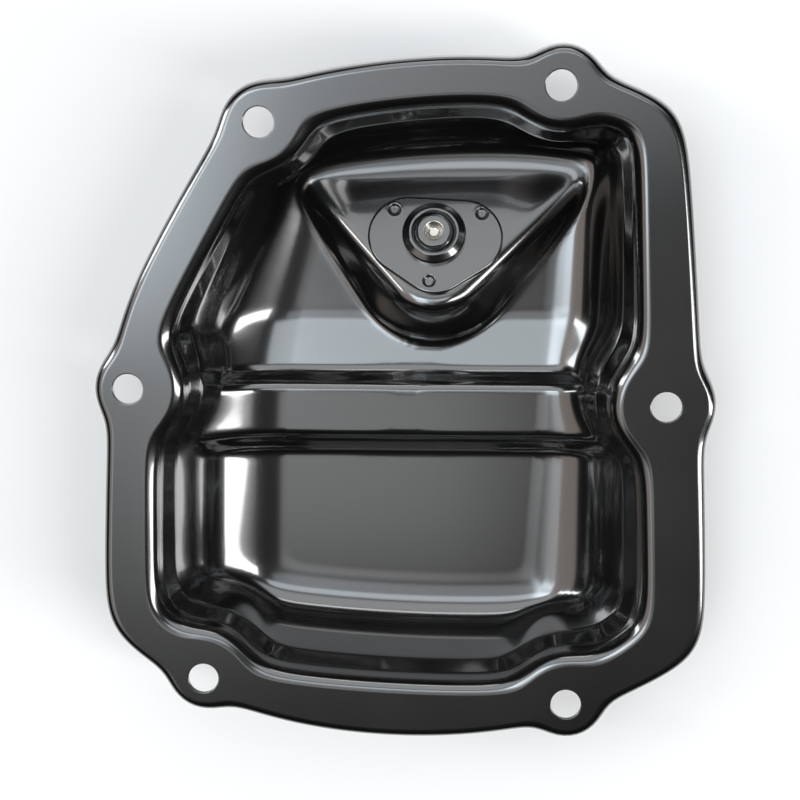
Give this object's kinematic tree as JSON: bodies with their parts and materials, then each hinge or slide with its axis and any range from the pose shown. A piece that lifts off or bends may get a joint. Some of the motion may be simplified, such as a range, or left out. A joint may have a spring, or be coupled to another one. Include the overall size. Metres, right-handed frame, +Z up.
{
  "type": "engine oil pan",
  "caption": "Drawn steel engine oil pan with a bolting flange, a floor ridge between its pockets and a raised wedge that carries a screw-in drain plug.",
  "frame": {"origin": "under the middle of the pan's outline, in the plane that its floor rests on", "axes": "+Z up through the open mouth, square to the sealing face; +Y towards the drain end, along the pan's length; +X to the right with the drain end away"},
  "size_m": [0.1878, 0.2122, 0.0464],
  "materials": {
    "shell_paint": "gloss black coating",
    "plate_paint": "gloss black coating",
    "bung_paint": "gloss black coating",
    "washer_metal": "plain",
    "plug_metal": "black oxide"
  },
  "bodies": {
    "pan": {"pan_shell": "shell_paint", "drain_plate": "plate_paint", "drain_bung": "bung_paint"},
    "washer": {"plug_washer": "washer_metal"},
    "plug": {"drain_plug": "plug_metal"}
  },
  "joints": [
    {"name": "plug_travel", "type": "slide", "parent": "pan", "child": "washer", "axis": [0, -0.4067, -0.9135], "range_m": [0, 0.0095]},
    {"name": "plug_turn", "type": "hinge", "parent": "washer", "child": "plug", "pos_m": [0.00809, 0.04589, 0.01235], "axis": [0, -0.4067, -0.9135], "range_deg": [0, 2736]}
  ],
  "couplings": [
    {"joint": "plug_travel", "follows": "plug_turn", "m_per_rad": 0.00019894}
  ]
}
